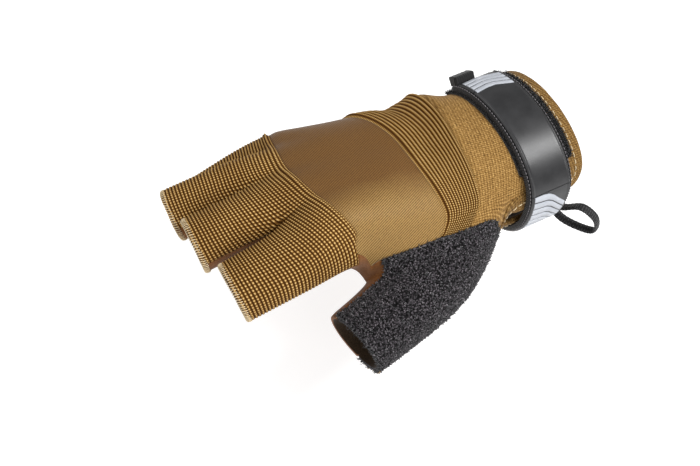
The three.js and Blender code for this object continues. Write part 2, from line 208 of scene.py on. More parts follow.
def coarse_net():
    """The cage of the whole glove: points, four-sided faces and each face's panel."""
    points, faces, panels = [], [], []

    def add(p, column=0.0, along=0.0, row=0.0):
        points.append([*p, column, along, row])
        return len(points) - 1

    rings = []
    for r, values in enumerate(BODY):
        ring = [add(p, ring_column(i), 0.0, r) for i, p in enumerate(body_ring(values))]
        rings.append(ring)
    roots = [finger_ring(k, 0.0) for k in range(4)]
    web = [None] * RING
    for c in range(17):
        k, j = divmod(c, 4)
        top, low = [], []
        if k < 4:
            top.append(roots[k][j])
            low.append(roots[k][10 - j])
        if j == 0 and k > 0:
            top.append(roots[k - 1][4])
            low.append(roots[k - 1][6])
        web[c] = add(np.mean(top, 0))
        web[34 - c] = add(np.mean(low, 0))
    web[17] = add(roots[3][5])
    web[35] = add(roots[0][11])
    for i, v in enumerate(web):
        reach = np.linalg.norm(np.array(points[v][:3]) - np.array(points[rings[8][i]][:3]))
        points[v][3:] = [ring_column(i), reach, WEB_ROW]
        points[rings[7][i]][ALONG] = -reach
    mids = [web[35], 0, 0, 0, web[17]]
    for k in (1, 2, 3):
        side = (roots[k][11] + roots[k - 1][5]) / 2
        mids[k] = add(side, 4 * k, points[web[4 * k]][ALONG] + 3, WEB_ROW)
    rings.append(web)

    def within(value, span):
        return span[0] <= value < span[1]

    for r in range(9):
        for i in range(RING):
            if within(r, THUMB_ROWS) and within(i, THUMB_COLS):
                continue
            if within(r, SLIT_ROWS) and within(i, SLIT_COLS):
                continue
            j = (i + 1) % RING
            faces.append((rings[r][i], rings[r + 1][i], rings[r + 1][j], rings[r][j]))
            panels.append(body_panel(r, i))
    for k in range(4):
        prev = [web[4 * k + j] for j in range(5)] + [mids[k + 1]]
        prev += [web[34 - 4 * k - j] for j in range(4, -1, -1)] + [mids[k]]
        _, start, end, *_ = finger_axes(k)
        total = np.mean([points[web[4 * k + j]][ALONG] for j in range(5)]) + np.linalg.norm(start - end)
        for step in range(1, FINGER_STEPS + 1):
            f = step / FINGER_STEPS
            ring = []
            for i, p in enumerate(finger_ring(k, f)):
                column = 4 * k + (i if i < 8 else i - 12)
                along = points[prev[i]][ALONG]
                along += (total - along) / (FINGER_STEPS + 1 - step)
                ring.append(add(p, column, along, WEB_ROW + step))
            for i in range(12):
                j = (i + 1) % 12
                faces.append((prev[i], ring[i], ring[j], prev[j]))
                panels.append(finger_panel(k, i))
            prev = ring
    # The thumb's opening, from its rear corner on the back of the hand and round the palm.
    (r0, r1), (c0, c1) = THUMB_ROWS, THUMB_COLS
    loop = [rings[r0][i] for i in range(c0, c1)]
    loop += [rings[r][c1] for r in range(r0, r1)]
    loop += [rings[r1][i] for i in range(c1, c0, -1)]
    loop += [rings[r][c0] for r in range(r1, r0, -1)]
    first = thumb_ring(0, len(loop))
    seam = []
    for i, (v, f) in enumerate(zip(loop, THUMB_SEAM)):
        place = np.array(points[v][:3]) * (1 - f) + first[i] * f
        row = min(20 - i, 8) if i > 10 else 4
        seam.append(add(place, 16 + 4 * f, points[v][ALONG], row))
    thumb_rings = [seam]
    for k in range(len(THUMB)):
        ring = []
        for v, p in zip(seam, thumb_ring(k, len(loop))):
            column = points[v][COLUMN] + 4 * (k + 1)
            ring.append(add(p, column, points[v][ALONG], points[v][ROW]))
        thumb_rings.append(ring)
    for step, ring in enumerate(thumb_rings):
        for i in range(len(loop)):
            j = (i + 1) % len(loop)
            # The first two corners lie along the hand, as in the body's own faces.
            faces.append((loop[j], loop[i], ring[i], ring[j]))
            panel = "palm_panel" if 6 <= i < 12 else "thumb_panel"
            if step == 0 and i < 4:
                panel = "wrist_panel"
            if step == 0 and i > 10:
                panel = body_panel(min(r1 + 11 - i, 7), 0)
            panels.append(panel)
        loop = ring
    return np.array(points), np.array(faces), np.array(panels)


def face_edges(quads):
    """The two ends of every side of every face."""
    return np.stack([quads, np.roll(quads, -1, 1)], 2).reshape(-1, 2)


def tally(spots, values, count):
    """Sums the rows of values that go to each of a number of spots."""
    out = np.zeros((count, values.shape[1]))
    np.add.at(out, spots, values)
    return out


def refine(verts, quads):
    """One round of Catmull-Clark; open edges stay on their own curve."""
    nv, nf = len(verts), len(quads)
    centres = verts[quads].mean(1)
    spread = np.repeat(centres, 4, 0)
    edges, inverse = np.unique(np.sort(face_edges(quads), 1), axis=0, return_inverse=True)
    inverse = inverse.reshape(-1)
    ne = len(edges)
    count = np.bincount(inverse, minlength=ne)
    mid = verts[edges].mean(1)
    inner_edges = (mid * 2 + tally(inverse, spread, ne)) / 4
    edge_points = np.where((count == 2)[:, None], inner_edges, mid)
    open_edges, open_mid = edges[count == 1], mid[count == 1]
    face_sum = tally(quads.reshape(-1), spread, nv)
    edge_sum = tally(edges.T.reshape(-1), np.concatenate([mid, mid]), nv)
    rim_sum = tally(open_edges.T.reshape(-1), np.concatenate([open_mid, open_mid]), nv)
    faces_at, edges_at, rims_at = (
        np.bincount(part.reshape(-1), minlength=nv)[:, None] for part in (quads, edges, open_edges))
    n = np.maximum(faces_at, 1)
    inner = (face_sum / n + 2 * edge_sum / np.maximum(edges_at, 1) + (n - 3) * verts) / n
    moved = np.where(rims_at == 2, (rim_sum / 2 + verts) / 2, inner)
    ei = inverse.reshape(-1, 4) + nv
    fi = np.arange(nf) + nv + ne
    out = np.stack([np.stack([quads[:, k], ei[:, k], fi, ei[:, k - 1]], 1) for k in range(4)], 1)
    for k in (1, 2, 3):
        out[:, k] = np.roll(out[:, k], k, 1)
    return np.concatenate([moved, edge_points, centres]), out.reshape(-1, 4)


def compact(verts, quads):
    """Only the points that some face uses."""
    used, remapped = np.unique(quads, return_inverse=True)
    return verts[used], remapped.reshape(quads.shape)


def split_along(verts, quads, parts):
    """Cuts every face into parts between its first and second corner."""
    if parts == 1:
        return verts, quads
    a, b, c, d = (verts[quads[:, k]] for k in range(4))
    steps = np.linspace(0, 1, parts + 1)
    left = np.stack([a * (1 - t) + b * t for t in steps], 1)
    right = np.stack([d * (1 - t) + c * t for t in steps], 1)
    grid = np.stack([left, right], 2).reshape(-1, verts.shape[1])
    _, first, inverse = np.unique(
        np.round(grid[:, :3], 4), axis=0, return_index=True, return_inverse=True)
    inverse = inverse.reshape(len(quads), parts + 1, 2)
    corners = ((0, 0), (1, 0), (1, 1), (0, 1))
    new = [np.stack([inverse[:, k + i, j] for i, j in corners], 1) for k in range(parts)]
    return grid[first], np.concatenate(new)


def normals_of(verts, quads):
    p = verts[:, :3]
    n = np.cross(p[quads[:, 2]] - p[quads[:, 0]], p[quads[:, 3]] - p[quads[:, 1]])
    out = tally(quads.T.reshape(-1), np.concatenate([n] * 4), len(p))
    return out / np.maximum(np.linalg.norm(out, axis=1), 1e-9)[:, None]


def rim_edges(quads):
    """The sides that only one face has."""
    ends = face_edges(quads)
    _, inverse, count = np.unique(
        np.sort(ends, 1), axis=0, return_inverse=True, return_counts=True)
    return ends[count[inverse.reshape(-1)] == 1]


def noise(p, scale, seed):
    """Smooth value noise between -1 and 1 at points in millimetres."""
    q = p * scale + np.array([17.3, 5.1, 9.7]) * (seed + 1)
    cell = np.floor(q).astype(int)
    f = q - cell
    f = f * f * (3 - 2 * f)
    total = np.zeros(len(p))
    for corner in np.ndindex(2, 2, 2):
        x, y, z = (cell + corner).T
        h = x * 374761393 + y * 668265263 + z * 2147483647 + seed * 144665
        h = (h ^ (h >> 13)) * 1274126177
        value = ((h ^ (h >> 16)) & 0xFFFF) / 32767.5 - 1
        total += value * np.prod(np.where(corner, f, 1 - f), 1)
    return total


def placed(name, data):
    """A new object in the scene."""
    made = bpy.data.objects.new(name, data)
    bpy.context.scene.collection.objects.link(made)
    return made


def make_object(name, verts_mm, faces, materials, slot, nodes, uv, index):
    """A visible piece; it takes the place of the named solids, if any."""
    mesh = bpy.data.meshes.new(name)
    mesh.from_pydata((np.asarray(verts_mm) * MM).tolist(), [], [list(map(int, f)) for f in faces])
    mesh.validate()
    for material in materials:
        mesh.materials.append(material)
    mesh.polygons.foreach_set("material_index", np.asarray(index, dtype=np.int32))
    layer = mesh.uv_layers.new(name="cloth")
    loops = np.empty(len(mesh.loops), dtype=np.int32)
    mesh.loops.foreach_get("vertex_index", loops)
    layer.data.foreach_set("uv", uv[loops].astype(np.float32).ravel())
    mesh.polygons.foreach_set("use_smooth", np.ones(len(mesh.polygons), dtype=bool))
    mesh.update()
    obj = placed(name, mesh)
    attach(obj, "root")
    if nodes:
        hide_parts(*nodes)


# Materials


class Shader:
    """Builds one material's node tree; place is a point of the glove."""

    def __init__(self, name, roughness, sheen=0.0, specular=0.3):
        self.material = bpy.data.materials.new(name)
        self.material.use_nodes = True
        self.tree = self.material.node_tree
        self.bsdf = self.tree.nodes["Principled BSDF"]
        self.bsdf.inputs["Roughness"].default_value = roughness
        self.bsdf.inputs["Specular IOR Level"].default_value = specular
        self.bsdf.inputs["Sheen Weight"].default_value = sheen
        self.bsdf.inputs["Sheen Roughness"].default_value = 0.4
        self.place = self.node("ShaderNodeTexCoord").outputs["Object"]

    def node(self, kind, **values):
        made = self.tree.nodes.new(kind)
        for key, value in values.items():
            setattr(made, key, value)
        return made

    def link(self, output, socket):
        self.tree.links.new(output, socket)

    def math(self, operation, a, b=0.0, c=0.0):
        made = self.node("ShaderNodeMath", operation=operation)
        for socket, value in zip(made.inputs, (a, b, c)):
            if isinstance(value, (int, float)):
                socket.default_value = value
            else:
                self.link(value, socket)
        return made.outputs[0]

    def noise(self, per_mm, detail=3.0, rough=0.7):
        made = self.node("ShaderNodeTexNoise")
        made.inputs["Scale"].default_value = per_mm * 1000
        made.inputs["Detail"].default_value = detail
        made.inputs["Roughness"].default_value = rough
        self.link(self.place, made.inputs["Vector"])
        return made.outputs["Fac"]

    def cells(self, per_mm):
        made = self.node("ShaderNodeTexVoronoi")
        made.inputs["Scale"].default_value = per_mm * 1000
        self.link(self.place, made.inputs["Vector"])
        return made.outputs["Distance"]

    def scaled(self, value, factor, added):
        return self.math("MULTIPLY_ADD", value, factor, added)

    def ramp(self, value, *stops):
        """A colour for each value, from stops of a position and a colour."""
        made = self.node("ShaderNodeValToRGB")
        self.link(value, made.inputs["Fac"])
        elements = made.color_ramp.elements
        while len(elements) < len(stops):
            elements.new(0.5)
        for element, (position, colour) in zip(elements, stops):
            element.position = position
            element.color = (*colour, 1)
        return made.outputs["Color"]

    def mix(self, a, b, factor=None):
        """Two colours mixed by a factor, or multiplied where there is none."""
        blend = "MIX" if factor else "MULTIPLY"
        made = self.node("ShaderNodeMix", data_type="RGBA", blend_type=blend)
        made.inputs[0].default_value = 1.0
        if factor:
            self.link(factor, made.inputs[0])
        self.link(a, made.inputs[6])
        self.link(b, made.inputs[7])
        return made.outputs[2]

    def bump(self, height, distance_mm, strength):
        made = self.node("ShaderNodeBump")
        made.inputs["Strength"].default_value = strength
        made.inputs["Distance"].default_value = distance_mm * MM
        self.link(height, made.inputs["Height"])
        return made.outputs["Normal"]

    def finish(self, colour, normal):
        self.link(colour, self.bsdf.inputs["Base Color"])
        self.link(normal, self.bsdf.inputs["Normal"])
        return self.material

    def wave(self, value, power=1.0):
        """A raised cosine of a coordinate that counts whole cycles."""
        turned = self.math("COSINE", self.math("MULTIPLY", value, 2 * math.pi))
        raised = self.scaled(turned, 0.5, 0.5)
        return raised if power == 1.0 else self.math("POWER", raised, power)

    def along(self, way, per_mm):
        """Cycles counted along a fixed direction of the glove."""
        made = self.node("ShaderNodeVectorMath", operation="DOT_PRODUCT")
        self.link(self.place, made.inputs[0])
        made.inputs[1].default_value = way
        return self.math("MULTIPLY", made.outputs["Value"], per_mm * 1000)

    def parts(self, source):
        made = self.node("ShaderNodeSeparateXYZ")
        self.link(source, made.inputs[0])
        return made.outputs[0], made.outputs[1]

    def uv_parts(self):
        """The two cloth coordinates, which count stitches or millimetres."""
        return self.parts(self.node("ShaderNodeUVMap").outputs["UV"])


def ribbed_knit():
    s = Shader("ribbed_knit", roughness=0.8, specular=0.05)
    u, v = s.uv_parts()
    rib = s.wave(v, power=0.8)
    bead = s.wave(s.scaled(v, 0.12, u), power=0.8)
    height = s.math("MULTIPLY", rib, s.scaled(bead, 0.68, 0.32))
    fibre = s.noise(1.6)
    # The colour follows the rib height: the grooves are painted dark as shade and the rib tops light as
    # highlight; the fibre noise is the yarn's own.
    shade = s.scaled(fibre, 0.3, s.math("SUBTRACT", height, 0.15))
    colour = s.ramp(
        shade, (0.0, (0.04, 0.014, 0.003)), (0.2, (0.09, 0.037, 0.007)),
        (0.42, (0.2, 0.098, 0.021)), (0.65, (0.37, 0.21, 0.06)), (0.95, (0.74, 0.52, 0.22)))
    broad = s.ramp(s.noise(0.035, 2.0, 0.55), (0.3, (0.8, 0.76, 0.72)), (0.7, (1.0, 1.0, 1.0)))
    return s.finish(s.mix(colour, broad), s.bump(height, 0.25, 0.8))


def fine_knit(name, tone=1.0):
    s = Shader(name, roughness=0.85, sheen=0.06, specular=0.15)
    u, v = s.uv_parts()
    rows = s.wave(s.math("MULTIPLY", u, 1.04))
    loops = s.wave(s.scaled(v, 0.75, s.math("MULTIPLY", u, 0.17)))
    grain = s.noise(1.8)
    height = s.scaled(rows, 0.13, s.math("MULTIPLY", loops, 0.1))
    height = s.scaled(grain, 0.8, height)
    colour = s.ramp(
        height, (0.32, (0.06, 0.026, 0.006)), (0.52, (0.24, 0.127, 0.033)),
        (0.74, (0.56, 0.36, 0.13)))
    worn = (0.86 * tone, 0.84 * tone, 0.8 * tone)
    broad = s.ramp(s.noise(0.05, 2.0, 0.55), (0.3, worn), (0.7, (tone, tone, tone)))
    return s.finish(s.mix(colour, broad), s.bump(height, 0.16, 0.8))


def satin_stretch():
    s = Shader("satin_stretch", roughness=0.6, sheen=0.05, specular=0.22)
    # Painted sheen and shade: the thumb side is painted golden, as lit satin, and shows its twill; the
    # middle is painted darker and smoother, as the satin's shade.
    across, _ = s.parts(s.place)
    sheen_toward_thumb = s.scaled(across, 24.0, 0.1)
    sheen_toward_thumb = s.scaled(s.noise(0.03, 2.0, 0.55), 0.35, sheen_toward_thumb)
    twill = s.wave(s.along((0.85, 0.375, -0.36), 1.35), power=0.8)
    fine = s.noise(1.5)
    height = s.scaled(fine, 0.5, s.math("MULTIPLY", twill, 0.5))
    deep = s.ramp(height, (0.2, (0.058, 0.023, 0.005)), (0.8, (0.185, 0.09, 0.022)))
    golden_sheen = s.ramp(height, (0.2, (0.062, 0.028, 0.007)), (0.75, (0.36, 0.215, 0.066)))
    shift = s.ramp(sheen_toward_thumb, (0.47, (0, 0, 0)), (0.8, (1, 1, 1)))
    return s.finish(s.mix(deep, golden_sheen, shift), s.bump(height, 0.07, 0.7))


def suede():
    s = Shader("suede", roughness=0.92, sheen=0.15, specular=0.12)
    nap = s.noise(1.3, 5.0, 0.75)
    patches = s.noise(0.09, 3.0, 0.6)
    tone = s.scaled(nap, 0.6, s.math("MULTIPLY", patches, 0.5))
    colour = s.ramp(
        tone, (0.3, (0.06, 0.022, 0.006)), (0.55, (0.16, 0.062, 0.018)),
        (0.8, (0.27, 0.115, 0.038)))
    return s.finish(colour, s.bump(nap, 0.16, 0.7))


def towelling():
    s = Shader("towelling", roughness=0.95, sheen=0.1, specular=0.1)
    fibre = s.noise(2.2, 3.0, 0.8)
    loops = s.scaled(s.cells(1.25), -0.75, 0.85)
    tone = s.scaled(fibre, 0.75, s.scaled(loops, 0.6, -0.25))
    colour = s.ramp(
        tone, (0.3, (0.001, 0.001, 0.001)), (0.42, (0.016, 0.0145, 0.016)),
        (0.52, (0.07, 0.062, 0.069)), (0.68, (0.24, 0.215, 0.235)))
    return s.finish(colour, s.bump(tone, 0.5, 1.0))


def black_tape(name, roughness, pale):
    s = Shader(name, roughness, sheen=0.15)
    u, v = s.uv_parts()
    weave = s.math("MULTIPLY", s.wave(u), s.wave(v))
    grain = s.noise(1.5)
    tone = s.scaled(grain, 0.4, s.math("MULTIPLY", weave, 0.6))
    colour = s.ramp(tone, (0.2, (0.004, 0.004, 0.0045)), (0.85, (pale, pale, pale * 1.03)))
    return s.finish(colour, s.bump(tone, 0.18, 0.9))


def moulded(name, dark, pale, roughness):
    """Satin rubber whose colour and gloss vary a little with wear."""
    s = Shader(name, roughness, specular=0.5)
    wear = s.noise(0.12, 4.0, 0.6)
    s.link(s.scaled(wear, 0.12, roughness - 0.06), s.bsdf.inputs["Roughness"])
    return s.finish(s.ramp(wear, (0.3, dark), (0.7, pale)), s.bump(s.noise(3.0, 2.0, 0.6), 0.02, 0.5))


def plain_cloth(name, look, grain, dark, pale, bump):
    """Two colours and a bump from one noise; look is roughness, sheen and specular."""
    s = Shader(name, *look)
    fibre = s.noise(*grain)
    return s.finish(s.ramp(fibre, dark, pale), s.bump(fibre, *bump))


def thread(name, dark, pale):
    return plain_cloth(name, (0.7, 0.3), (2.8, 3.0, 0.7), (0.3, dark), (0.7, pale), (0.08, 0.6))


RIBBED, FINE, SATIN = ribbed_knit(), fine_knit("fine_knit"), satin_stretch()
CUFF_KNIT = fine_knit("cuff_knit", 0.7)
SUEDE, TERRY = suede(), towelling()
# The lining's own brown is painted much darker, as the shade inside the glove.
LINING = plain_cloth(
    "lining", (0.9, 0.2, 0.15), (1.6, 4.0, 0.7), (0.3, (0.02, 0.012, 0.007)),
    (0.7, (0.07, 0.044, 0.025)), (0.15, 0.7))
PILE = plain_cloth(
    "loop_pile", (0.95, 0.25, 0.15), (2.4, 5.0, 0.8), (0.4, (0.002, 0.002, 0.0025)),
    (0.75, (0.04, 0.04, 0.042)), (0.5, 1.0))
STRAP_BASE = black_tape("strap_base", 0.75, 0.03)
WEBBING = black_tape("webbing", 0.7, 0.06)
STRAP_FACE = moulded("strap_face", (0.013, 0.013, 0.014), (0.024, 0.024, 0.0255), 0.37)
PALE_FACE = moulded("pale_face", (0.36, 0.38, 0.42), (0.47, 0.49, 0.53), 0.42)
TAN_THREAD = thread("tan_thread", (0.26, 0.16, 0.06), (0.6, 0.44, 0.23))
CREAM_THREAD = thread("cream_thread", (0.3, 0.2, 0.09), (0.85, 0.7, 0.45))
BLACK_THREAD = thread("black_thread", (0.006, 0.006, 0.007), (0.05, 0.05, 0.053))
GREY_THREAD = thread("grey_thread", (0.022, 0.021, 0.023), (0.08, 0.077, 0.082))
PALE_THREAD = thread("pale_thread", (0.09, 0.082, 0.09), (0.27, 0.25, 0.265))

# The panels

net_points, net_faces, net_panels = coarse_net()
for _ in range(2):
    net_points, net_faces = refine(net_points, net_faces)
    net_panels = np.repeat(net_panels, 4)
net_normals = normals_of(net_points, net_faces)
net_rim = {int(a): int(b) for a, b in rim_edges(net_faces)}
skin_tree = BVHTree.FromPolygons(
    [Vector(p) for p in net_points[:, :3]], [tuple(map(int, f)) for f in net_faces])


def on_skin(p, off):
    """The nearest point of the glove's skin, moved off it, and the skin's normal there."""
    where, normal, _, _ = skin_tree.find_nearest(Vector(p))
    return np.array(where + normal * off), np.array(normal)


def edge_distance(verts, rim):
    """How far each point of a panel lies from the panel's edge."""
    tree = KDTree(len(rim))
    for i, v in enumerate(rim):
        tree.insert(verts[v, :3], i)
    tree.balance()
    return np.array([tree.find(p)[2] for p in verts[:, :3]])


def panel_piece(name, slot, outer_material, rounds, parts, relief, uv):
    """A cloth panel: a fine outer skin with its relief, a rim and a plain inner skin."""
    verts, quads = compact(net_points, net_faces[net_panels == name])
    inner_verts, inner_quads = refine(verts, quads)
    for _ in range(rounds):
        verts, quads = refine(verts, quads)
    verts, quads = split_along(verts, quads, parts)
    normals = normals_of(verts, quads)
    edges = rim_edges(quads)
    rim = np.unique(edges)
    distance = edge_distance(verts, rim)
    height = relief(verts, distance)
    outer = verts[:, :3] + normals * height[:, None]
    ring = verts[rim, :3] - normals[rim] * WALL
    number = {int(v): len(verts) + i for i, v in enumerate(rim)}
    inside = inner_verts[:, :3] - normals_of(inner_verts, inner_quads) * WALL
    shift = len(verts) + len(rim)
    faces = [quads, np.array([[b, a, number[a], number[b]] for a, b in edges.tolist()])]
    faces.append(inner_quads[:, ::-1] + shift)
    index = np.concatenate([np.full(len(f), k) for f, k in zip(faces, (0, 0, 1))])
    coords = uv(verts)
    rest = np.concatenate([coords[rim], uv(inner_verts)])
    make_object(
        name + "_cloth", np.concatenate([outer, ring, inside]), np.concatenate(faces),
        [outer_material, LINING], slot, [name], np.concatenate([coords, rest]), index)


# Reliefs, in millimetres above the net; each one rolls down to the panel's seams
RIB_PITCH = 1.36
BAND_RIBS = 14
CREASE_LONG, CREASE_WIDE, CREASE_SLANT, CREASE_DEEP = 11.0, 1.3, 1.5, 1.5


def rib_relief(v):
    return (0.5 + 0.5 * np.cos(2 * np.pi * v)) ** 0.8


def little_side(verts, columns):
    """One at the little finger's edge of the hand, and none past so many columns."""
    return np.clip(1 - verts[:, COLUMN] / columns, 0, 1)


def finger_uv(verts):
    return np.stack([verts[:, COLUMN] * 5, verts[:, ALONG] / RIB_PITCH], 1)


def web_tops():
    """The point behind each gap between two fingers, on the back of the hand."""
    tops = []
    for name in SIDEWALLS:
        points = net_points[np.unique(net_faces[net_panels == name]), :3]
        tops.append(points[np.argmax(points[:, 1] + points[:, 2])])
    return tops


def web_creases(verts):
    """Folds that run from the gaps between the fingers toward the knuckles."""
    depth = np.zeros(len(verts))
    for x, y, _ in web_tops():
        t = np.clip((verts[:, 1] - y) / CREASE_LONG, 0, 1)
        ahead = np.clip((verts[:, 1] - y) / 1.5 + 1, 0, 1)
        near = bell(verts[:, 0] - x - CREASE_SLANT * t, CREASE_WIDE)
        depth = np.maximum(depth, near * (1 - t) * ahead * (verts[:, 2] > 0))
    return CREASE_DEEP * depth


def finger_relief(verts, distance):
    """Ribs that flatten at the hems, and a raised lip over the knuckles."""
    roll = 1 - bell(distance, 0.8)
    hem = np.clip((WEB_ROW + FINGER_STEPS - verts[:, ROW]) * 4, 0.25, 1)
    ribs = 0.42 * hem * rib_relief(finger_uv(verts)[:, 1])
    lip = (0.7 + 0.5 * little_side(verts, 4)) * bell(verts[:, ALONG] - 1.4, 1.4)
    return 0.1 + roll * (0.2 + ribs + lip) - web_creases(verts)


def band_uv(verts):
    return np.stack([verts[:, COLUMN] * 5.5, (verts[:, ROW] - BAND_ROW) * BAND_RIBS], 1)


def band_relief(verts, distance):
    """Ribs over a raised front and rear and a dip between them, deepest at the little finger."""
    t = verts[:, ROW] - BAND_ROW
    side = little_side(verts, 10)
    front, rear, dip = bell(1 - t, 0.14), bell(t - 0.02, 0.16), bell(t - 0.5, 0.16)
    folds = 0.45 * front + (0.3 + 2.2 * side) * rear - (0.3 + 1.6 * side) * dip
    folds += 0.35 * noise(verts[:, :3], 0.09, 3)
    ribs = 0.5 * rib_relief(band_uv(verts)[:, 1])
    return (1 - bell(distance, 0.6)) * (0.35 + ribs + folds)


def cloth_uv(verts):
    return np.stack([verts[:, COLUMN] * 5, verts[:, 1]], 1)


def plain_relief(raise_mm, roll_mm, lumps, seed):
    """A panel raised evenly, with soft lumps."""
    def relief(verts, distance):
        roll = 1 - bell(distance, roll_mm)
        return raise_mm * roll + lumps * noise(verts[:, :3], 0.07, seed) * roll
    return relief


def wrist_relief(verts, distance):
    """A swell behind the ribbed band on the little-finger side, and a plain cuff."""
    side = little_side(verts, 10) * (verts[:, COLUMN] > -6)
    swell = bell(verts[:, ROW] - BAND_ROW, 0.35) * side
    roll = 1 - bell(distance, 1.2)
    return roll * (0.25 + 0.25 * noise(verts[:, :3], 0.07, 4)) + 2.0 * swell * roll


def terry_relief(verts, distance):
    p = verts[:, :3]
    roll = 1 - bell(distance, 1.0)
    pile_height = 0.24 * noise(p, 1.3, 1) + 0.26 * noise(p, 2.2, 2)
    return 0.25 + 0.7 * roll + pile_height * (0.35 + 0.65 * roll)


# Name, slot, material, rounds of refining, cuts along the hand, relief and cloth coordinates
PANELS = [
    ("wrist_panel", "fine_knit", FINE, 2, 1, wrist_relief, cloth_uv),
    ("ribbed_band", "ribbed_knit", RIBBED, 2, 6, band_relief, band_uv),
    ("knuckle_panel", "satin_stretch", SATIN, 2, 1, plain_relief(0.3, 2.0, 0.5, 5), cloth_uv),
    ("finger_back", "ribbed_knit", RIBBED, 2, 3, finger_relief, finger_uv),
    ("palm_panel", "suede", SUEDE, 1, 1, plain_relief(0.3, 1.2, 0.4, 6), cloth_uv),
    ("thumb_panel", "towelling", TERRY, 3, 1, terry_relief, cloth_uv),
]
for name in SIDEWALLS:
    PANELS.append((name, "suede", SUEDE, 2, 1, plain_relief(0.1, 0.8, 0.1, 7), cloth_uv))
for panel in PANELS:
    panel_piece(*panel)

# Strap and cuff

CUFF_X, CUFF_W, CUFF_UP, CUFF_DOWN, CUFF_LOW = -2.0, 29.5, 20.0, 28.0, 2.4


def signed_power(value, power):
    return math.copysign(abs(value) ** power, value)


def cuff_point(degrees, y, off):
    """A point at a height off the cuff, at an angle round it."""
    a = math.radians(degrees)
    c, s = math.cos(a), math.sin(a)
    power = 2 / (2 if s >= 0 else CUFF_LOW)
    h = CUFF_UP if s >= 0 else CUFF_DOWN
    x, z = signed_power(c, power) * CUFF_W, signed_power(s, power) * h
    grade = unit(np.array([signed_power(c, 2 - power) / CUFF_W, signed_power(s, 2 - power) / h]))
    return np.array([CUFF_X + x, y, z]) + np.array([grade[0], 0, grade[1]]) * off


class Band:
    """A stretch of the cuff's surface measured in millimetres along and across."""

    def __init__(self, start, end, front, rear, off):
        self.front, self.off = front, off
        self.width = rear - front
        self.angles = np.linspace(start, end, 240)
        self.run = distances(np.array([cuff_point(a, 0, off) for a in self.angles]))
        self.length = self.run[-1]
        self.turned = end > start

    def at(self, along, across, lift=0.0):
        """A point along the band and across it from its front edge."""
        angle = np.interp(along, self.run, self.angles)
        return cuff_point(angle, self.front + across, self.off + lift)


TUBE_HINT = np.array([0.31, 0.52, 0.79])


class Builder:
    """Collects the points, faces, cloth coordinates and finishes of one piece."""

    def __init__(self):
        self.points, self.faces, self.uv, self.index = [], [], [], []

    def grid(self, points, uv, finish=0, flip=False, closed=False):
        """Joins a table of points, rows by columns, with four-sided faces."""
        base = len(self.points)
        rows, cols = len(points), len(points[0])
        for row, row_uv in zip(points, uv):
            self.points.extend(row)
            self.uv.extend(row_uv)
        for i in range(rows - 1):
            for j in range(cols if closed else cols - 1):
                k = (j + 1) % cols
                face = [base + i * cols + j, base + i * cols + k]
                face += [base + (i + 1) * cols + k, base + (i + 1) * cols + j]
                self.faces.append(face[::-1] if flip else face)
                self.index.append(finish)
        return base

    def tube(self, path, radius, sides=6, finish=0, flat=None, guide=None):
        """A round or oval tube along a path; flat is the second radius, along the guide."""
        path = [np.array(p, float) for p in path]
        last = len(path) - 1
        rows, uv, run = [], [], 0.0
        for i, p in enumerate(path):
            along = path[min(i + 1, last)] - path[max(i - 1, 0)]
            along /= max(np.linalg.norm(along), 1e-9)
            hint = guide[i] if guide is not None else TUBE_HINT
            side = np.cross(along, hint)
            side /= max(np.linalg.norm(side), 1e-9)
            up = np.cross(side, along)
            r = radius[i] if hasattr(radius, "__len__") else radius
            q = r if flat is None else flat[i]
            rows.append([oval(p, side * r, up * q, 2 * math.pi * k / sides) for k in range(sides)])
            run += np.linalg.norm(p - path[i - 1]) if i else 0.0
            uv.append([(k / sides * 6.3 * r, run) for k in range(sides)])
        base = self.grid(rows, uv, finish, closed=True)
        self.faces.append([base + k for k in range(sides)][::-1])
        self.faces.append([base + last * sides + k for k in range(sides)])
        self.index += [finish, finish]

    def piece(self, name, materials, slot, nodes=()):
        make_object(
            name, self.points, self.faces, materials, slot, nodes, np.array(self.uv), self.index)


def slab(builder, band, thick, corner, edge, finish=0, length=None, relief=None,
         steps=(90, 18), soft_ends=True):
    """A strip lying on a band with rounded corners and a softened upper edge."""
    length = length or band.length
    rows, under, uv = [], [], []
    for i in range(steps[0] + 1):
        s = length * i / steps[0]
        from_end = min(s, length - s)
        cut = max(corner - from_end, 0)
        inset = corner - math.sqrt(max(corner ** 2 - cut ** 2, 0))
        row, low, row_uv = [], [], []
        for j in range(steps[1] + 1):
            f = 0.5 - 0.5 * math.cos(math.pi * j / steps[1])
            w = inset + (band.width - 2 * inset) * f
            gap = min(w - inset, band.width - inset - w, from_end if soft_ends else band.width)
            drop = edge * math.exp(-max(gap, 0) / edge * 1.6)
            top = thick - drop + (relief(s, w) if relief else 0)
            row.append(band.at(s, w, top))
            low.append(band.at(s, w))
            row_uv.append((s, w))
        rows.append(row)
        under.append(low)
        uv.append(row_uv)
    builder.grid(rows, uv, finish, flip=band.turned)
    builder.grid(under, uv, finish, flip=not band.turned)
    rim = [(0, j) for j in range(steps[1] + 1)] + [(i, steps[1]) for i in range(1, steps[0] + 1)]
    rim += [(steps[0], j) for j in range(steps[1] - 1, -1, -1)]
    rim += [(i, 0) for i in range(steps[0] - 1, -1, -1)]
    walls = [[rows[i][j] for i, j in rim], [under[i][j] for i, j in rim]]
    wall_uv = [uv[i][j] for i, j in rim]
    builder.grid(walls, [wall_uv, wall_uv], finish, flip=band.turned)


def stitch(builder, points, radius, finish=0, steps=6):
    """One thread laid through a few points, thinner where it enters the cloth."""
    pts = np.array(points, float)
    run = np.linspace(0, len(pts) - 1, steps + 1)
    whole = np.arange(len(pts))
    path = np.stack([np.interp(run, whole, pts[:, k]) for k in range(3)], 1)
    smooth = path.copy()
    smooth[1:-1] = (path[:-2] + 2 * path[1:-1] + path[2:]) / 4
    taper = [radius * (0.55 if i in (0, steps) else 1.0) for i in range(steps + 1)]
    builder.tube(smooth, taper, 5, finish)


